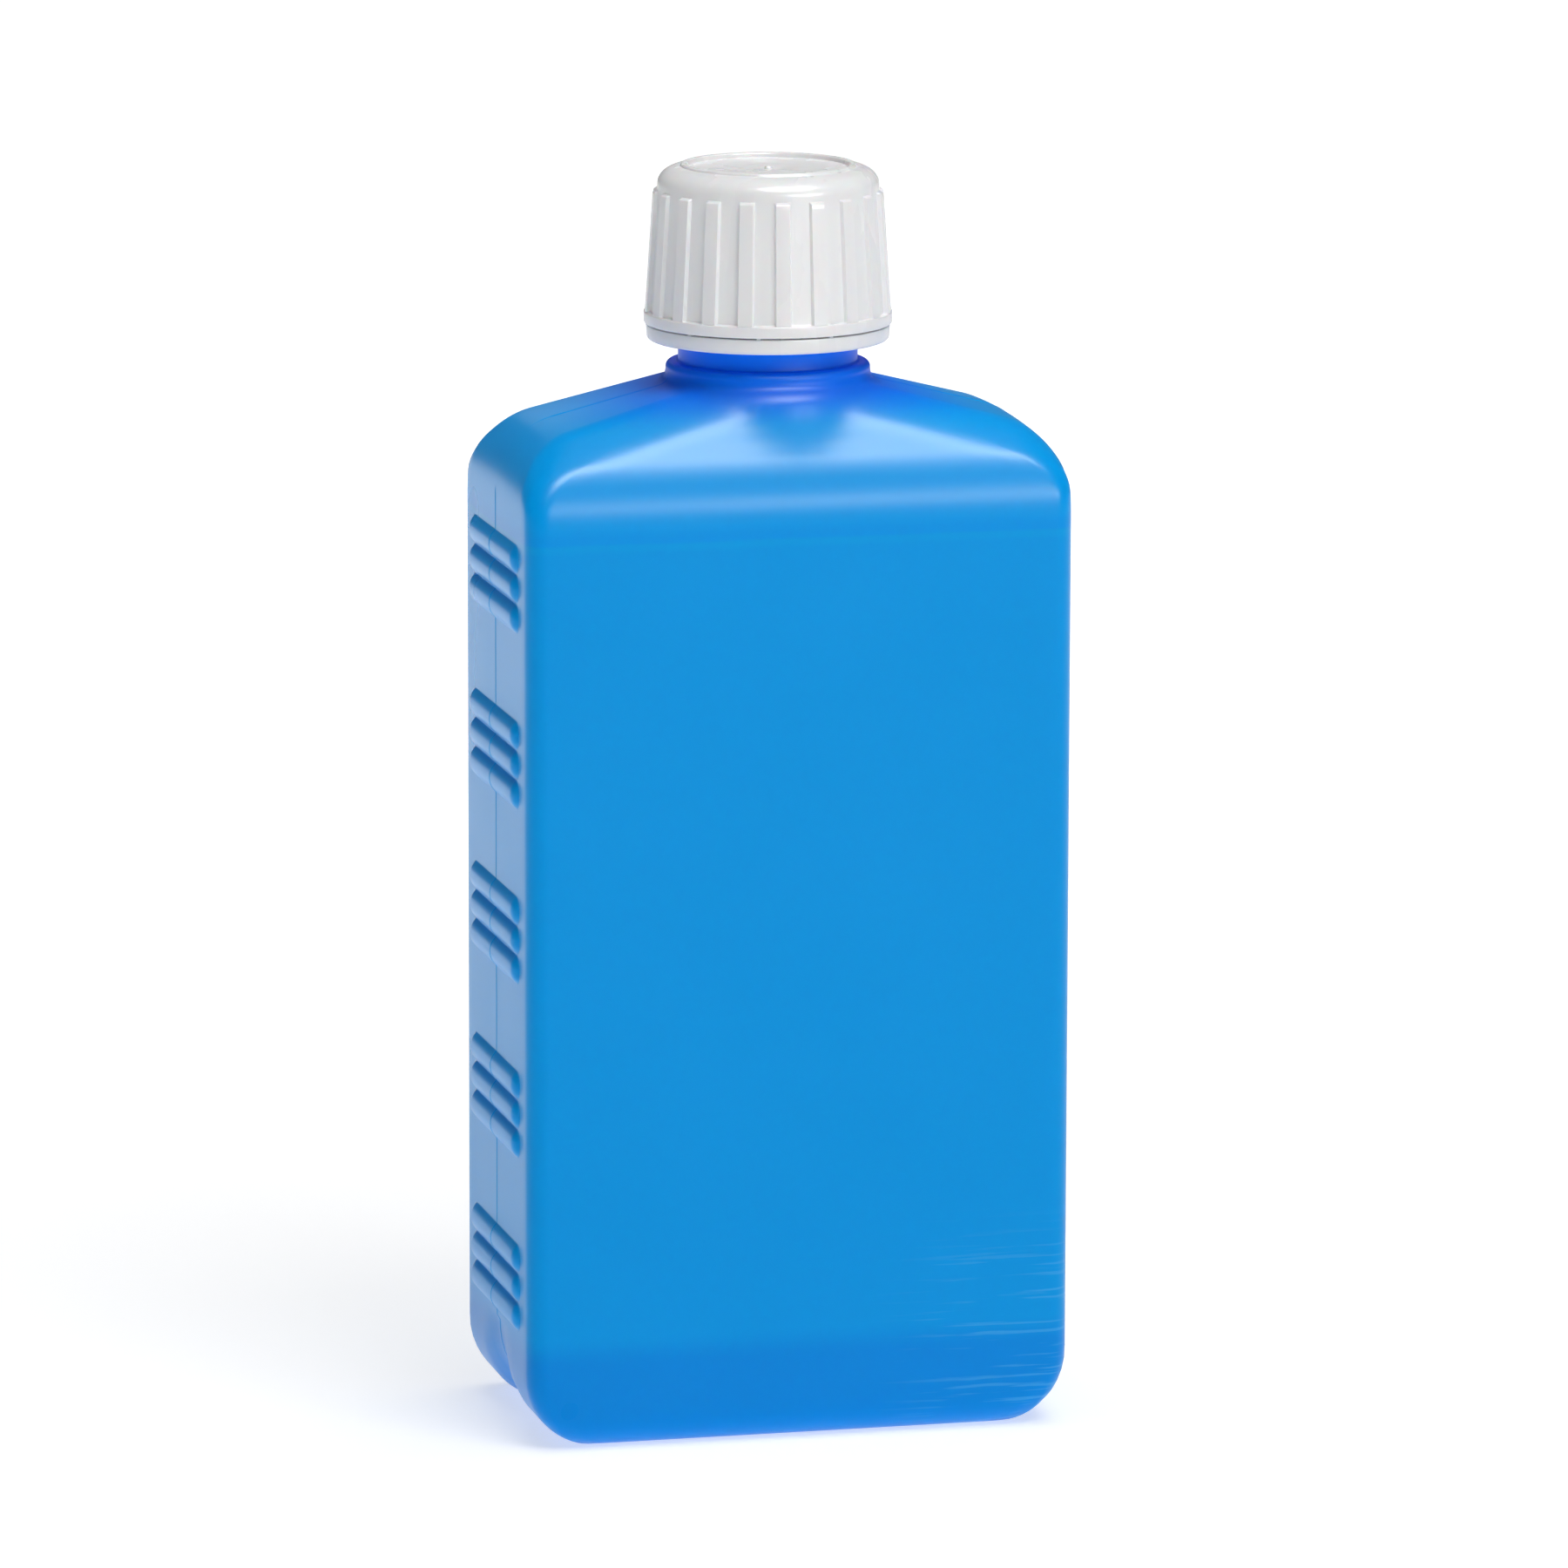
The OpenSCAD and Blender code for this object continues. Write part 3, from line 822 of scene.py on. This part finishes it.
def level_colour(n, level):
    """The walls' blue, changing at the liquid's level, with a painted highlight just under it and painted
    shade just over it.
    """
    filled = n.span(level, FILL_Z - 0.3 * MM, FILL_Z + 0.1 * MM, 1.0, 0.0)
    # Painted highlight just under the level.
    under = n.maths("MULTIPLY", n.span(level, FILL_Z - 1.8 * MM, FILL_Z - 0.8 * MM),
                    n.span(level, FILL_Z - 0.5 * MM, FILL_Z, 1.0, 0.0))
    # Painted shade just over the level.
    over = n.maths("MULTIPLY", n.span(level, FILL_Z - 0.3 * MM, FILL_Z + 0.1 * MM),
                   n.span(level, FILL_Z + 0.6 * MM, FILL_Z + 2.6 * MM, 1.0, 0.0))
    colour = n.mix(filled, BLUE_WALL, BLUE_FILLED)
    colour = n.mix(n.maths("MULTIPLY", under, 0.4), colour, LEVEL_HIGHLIGHT)
    return n.mix(n.maths("MULTIPLY", over, 0.5), colour, LEVEL_SHADE)


def rubbed(n, x, z):
    """Fine level scuffs low on the right, where the bottle has been slid along."""
    scratch = n.noise(90.0, detail=3.0, stretch=(0.6, 0.6, 16.0))
    worn = n.maths("MULTIPLY", n.span(x, 10 * MM, 30 * MM), n.span(z, 20 * MM, 36 * MM, 1.0, 0.0))
    return n.maths("MULTIPLY", n.span(scratch, 0.56, 0.66), worn)


def blue_polyethylene():
    """Blue polyethylene: milky depth, a satin skin, a few scuffs and the liquid's level showing, with painted
    shade towards the bottom, a deeper blue on the neck that is partly its thicker wall and partly painted
    shade, and a painted highlight along the level.
    """
    n = Nodes("blue_polyethylene")
    xyz = n.add("ShaderNodeSeparateXYZ")
    n.join(n.object, xyz.inputs[0])
    x, _, z = xyz.outputs
    cloud = n.noise(38.0, detail=1.5)
    fine = n.noise(900.0, detail=3.0)

    level = n.maths("ADD", z, n.maths("MULTIPLY", n.maths("SUBTRACT", cloud, 0.5), LEVEL_WAVER))
    # Painted shade, darker towards the bottom of the walls.
    low = n.span(level, BASE_SHADE_Z - 2 * MM, BASE_SHADE_Z + 3 * MM, 1.0, 0.0)
    # Painted shade on the neck and its root, mixed with the deeper blue of the thicker neck wall.
    thick_neck_and_shade = n.span(level, THICK_NECK_AND_SHADE_LOW_Z, THICK_NECK_AND_SHADE_HIGH_Z)
    colour = n.mix(n.maths("MULTIPLY", low, 0.9), level_colour(n, level), BLUE_BASE_SHADE)
    colour = n.mix(thick_neck_and_shade, colour, BLUE_THICK_NECK_AND_SHADE)
    colour = n.mix(n.maths("MULTIPLY", rubbed(n, x, z), 0.45), colour, BLUE_RUBBED)
    tone = n.add("ShaderNodeHueSaturation")
    tone_wander = n.maths("ADD", n.maths("MULTIPLY", cloud, 0.04), n.maths("MULTIPLY", fine, 0.02))
    n.join(n.maths("ADD", 0.965, tone_wander), tone.inputs["Value"])
    n.join(colour, tone.inputs["Color"])

    rough = n.maths("ADD", n.span(cloud, 0.0, 1.0, 0.25, 0.33, smooth=False), n.maths("MULTIPLY", thick_neck_and_shade, 0.12))
    height = n.maths("ADD", cloud, n.maths("MULTIPLY", fine, 0.12))
    skin = n.principled(
        Base_Color=tone.outputs[0], IOR=1.34, Subsurface_Weight=0.25, Subsurface_Scale=0.004,
        Roughness=rough, Specular_Tint=SKIN_SHINE, Subsurface_Radius=(0.3, 0.7, 1.0),
        Normal=n.bump(height, 0.1, 0.00008))
    n.join(skin.outputs[0], n.out.inputs[0])
    return n.material


def white_polypropylene(name="white_polypropylene"):
    """Glossy moulded white, slightly cool, with faint flow marks and a very fine skin."""
    n = Nodes(name)
    flow = n.noise(90.0, detail=4.0, stretch=(1.0, 1.0, 0.3))
    grain = n.noise(1800.0, detail=2.0)
    colour = n.mix(flow, (0.83, 0.832, 0.845), (0.885, 0.887, 0.893))
    skin = n.principled(
        Base_Color=colour, IOR=1.49, Specular_IOR_Level=0.2, Subsurface_Weight=0.2, Subsurface_Scale=0.0015,
        Roughness=n.span(flow, 0.2, 0.8, 0.22, 0.32, smooth=False),
        Normal=n.bump(n.maths("ADD", flow, n.maths("MULTIPLY", grain, 0.15)), 0.1, 0.0001))
    n.join(skin.outputs[0], n.out.inputs[0])
    return n.material


def liner_foam():
    """Fine closed-cell foam."""
    n = Nodes("liner_foam")
    cells = n.add("ShaderNodeTexVoronoi")
    cells.inputs["Scale"].default_value = 2600.0
    n.join(n.object, cells.inputs["Vector"])
    patch = n.noise(300.0)
    colour = n.mix(patch, (0.78, 0.77, 0.73), (0.86, 0.85, 0.81))
    skin = n.principled(Base_Color=colour, Roughness=n.span(patch, 0.3, 0.7, 0.5, 0.7, smooth=False),
                        Normal=n.bump(cells.outputs["Distance"], 0.3, 0.0001))
    n.join(skin.outputs[0], n.out.inputs[0])
    return n.material


def clear_liquid():
    """A watery liquid that takes its colour from the bottle round it: its blue is painted, standing in for
    the light that reaches it through the blue walls.
    """
    n = Nodes("clear_liquid")
    depth = n.noise(25.0, detail=2.0)
    colour = n.mix(depth, (0.02, 0.30, 0.66), (0.03, 0.34, 0.72))
    skin = n.principled(Base_Color=colour, Roughness=0.04, IOR=1.33,
                        Normal=n.bump(depth, 0.05, 0.0002))
    n.join(skin.outputs[0], n.out.inputs[0])
    return n.material


def studio_paper(name, near_glow):
    """Pale matt paper that glows a little, as a lit table does, and more further off."""
    n = Nodes(name)
    tint = n.noise(3.0, detail=2.0)
    away = n.add("ShaderNodeVectorMath", operation="LENGTH")
    n.join(n.object, away.inputs[0])
    glow = n.span(away.outputs["Value"], 0.15, 0.7, near_glow, PAPER_FAR_GLOW)
    skin = n.principled(Base_Color=n.mix(tint, (0.62, 0.62, 0.62), (0.65, 0.65, 0.65)), Roughness=0.8,
                        Specular_IOR_Level=0.1, Emission_Color=(1.0, 1.0, 1.0, 1.0), Emission_Strength=glow)
    n.join(skin.outputs[0], n.out.inputs[0])
    return n.material


# ---- studio ----------------------------------------------------------------

PAPER_R = 3.0
ROUND_STEPS = 96
PAPER_GLOW = 0.56
PAPER_FAR_GLOW = 0.9
WALL_LOW_Z = -0.02
WALL_H = 1.2
ROOM_LIGHT = 0.08


def make_paper():
    """A wide round sheet of pale paper under the bottle."""
    angles = np.linspace(0, 2 * math.pi, ROUND_STEPS, endpoint=False)
    rings = revolve([(r, 0) for r in (0.2, 0.5, 1.0, 2.0, PAPER_R)], angles)
    verts = [(0, 0, 0)] + flat_verts(rings)
    faces = fan_faces(1, ROUND_STEPS, 0) + ring_faces(len(rings), ROUND_STEPS, start=1)
    obj = new_object("paper_sheet", verts, faces, studio_paper("studio_paper", PAPER_GLOW))
    tidy_mesh(obj)


def make_backdrop():
    """A low pale wall far round the paper, seen behind the bottle, which neither lights nor mirrors in it."""
    angles = np.linspace(0, 2 * math.pi, ROUND_STEPS, endpoint=False)
    verts = flat_verts(revolve([(PAPER_R, WALL_LOW_Z), (PAPER_R, WALL_H)], angles))
    obj = new_object("pale_wall", verts, ring_faces(2, ROUND_STEPS), studio_paper("studio_wall", 1.0))
    tidy_mesh(obj)
    obj.visible_glossy = False
    obj.visible_diffuse = False
    obj.visible_shadow = False


LIGHT_AIM_Z = 0.1


def area_light(name, place, size, power, glossy=True, diffuse=True):
    """A soft rectangle aimed at the bottle's middle, lighting mirrorings, matt surfaces or both."""
    data = bpy.data.lights.new(name, "AREA")
    data.shape = "RECTANGLE"
    data.size, data.size_y = size
    data.energy = power
    obj = bpy.data.objects.new(name, data)
    bpy.context.scene.collection.objects.link(obj)
    obj.location = place
    aim = Vector((0, 0, LIGHT_AIM_Z))
    obj.rotation_euler = (aim - Vector(place)).to_track_quat("-Z", "Y").to_euler()
    obj.visible_glossy = glossy
    obj.visible_diffuse = diffuse
    obj.visible_camera = False
    return obj


def toward(azimuth, elevation, distance):
    """A place at an azimuth right of the front and an elevation, in degrees, as seen from the aim."""
    a, e = math.radians(azimuth), math.radians(elevation)
    level = distance * math.cos(e)
    return (level * math.sin(a), -level * math.cos(a), distance * math.sin(e) + LIGHT_AIM_Z)


def make_lights():
    world = bpy.data.worlds.new("studio")
    world.use_nodes = True
    background = world.node_tree.nodes["Background"]
    background.inputs["Color"].default_value = (1.0, 1.0, 1.0, 1.0)
    background.inputs["Strength"].default_value = ROOM_LIGHT
    bpy.context.scene.world = world
    area_light("slope_softbox", toward(15, 59, 1.2), (0.76, 0.45), 84, diffuse=False)
    area_light("key", toward(21, 54, 1.2), (0.6, 0.6), 6.0, glossy=False)
    area_light("edge_strip", toward(25, 16, 1.3), (0.8, 0.06), 28, diffuse=False)
    area_light("left_roof_strip", toward(173, 16, 1.5), (0.5, 0.02), 0.16, diffuse=False)
    area_light("right_roof_strip", toward(163, 3.5, 1.5), (0.5, 0.03), 0.015, diffuse=False)
    area_light("left_fill", toward(-110, 35, 1.6), (0.8, 0.8), 0.5, glossy=False)
    area_light("top_fill", (0.1, 0.2, 2.0), (1.5, 1.5), 20, glossy=False)


CAMERA_AZIMUTH = math.radians(13.74)
CAMERA_ELEVATION = math.radians(10.74)
CAMERA_DISTANCE = 1.6508
CAMERA_ROLL = math.radians(0.15)
CAMERA_LENS = 246.95
AIM_RIGHT = 2.64 * MM
AIM_HEIGHT = 97.8 * MM


def make_camera():
    data = bpy.data.cameras.new("camera")
    data.lens = CAMERA_LENS
    data.sensor_width = 36
    data.clip_start, data.clip_end = 0.05, 20
    obj = bpy.data.objects.new("camera", data)
    bpy.context.scene.collection.objects.link(obj)
    a, e = CAMERA_AZIMUTH, CAMERA_ELEVATION
    right = Vector((math.cos(a), -math.sin(a), 0))
    forward = Vector((math.sin(a) * math.cos(e), math.cos(a) * math.cos(e), -math.sin(e)))
    aim = right * AIM_RIGHT + Vector((0, 0, AIM_HEIGHT))
    obj.location = aim - forward * CAMERA_DISTANCE
    turn = forward.to_track_quat("-Z", "Y").to_matrix() @ Euler((0, 0, CAMERA_ROLL)).to_matrix()
    obj.rotation_euler = turn.to_euler()
    bpy.context.scene.camera = obj


# ---- put it together -------------------------------------------------------

def add_piece(piece, body, node):
    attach(piece, body)
    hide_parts(node)


make_camera()
make_lights()
make_paper()
make_backdrop()
add_piece(make_bottle(blue_polyethylene()), "bottle", "bottle")
add_piece(make_liquid(clear_liquid()), "bottle", "liquid")
add_piece(make_cap(white_polypropylene()), "cap", "screw_cap")
add_piece(make_band(white_polypropylene("band_polypropylene")), "band", "tamper_band")
add_piece(make_liner(liner_foam()), "liner", "cap_liner")

scene = bpy.context.scene
scene.view_settings.view_transform = "Standard"
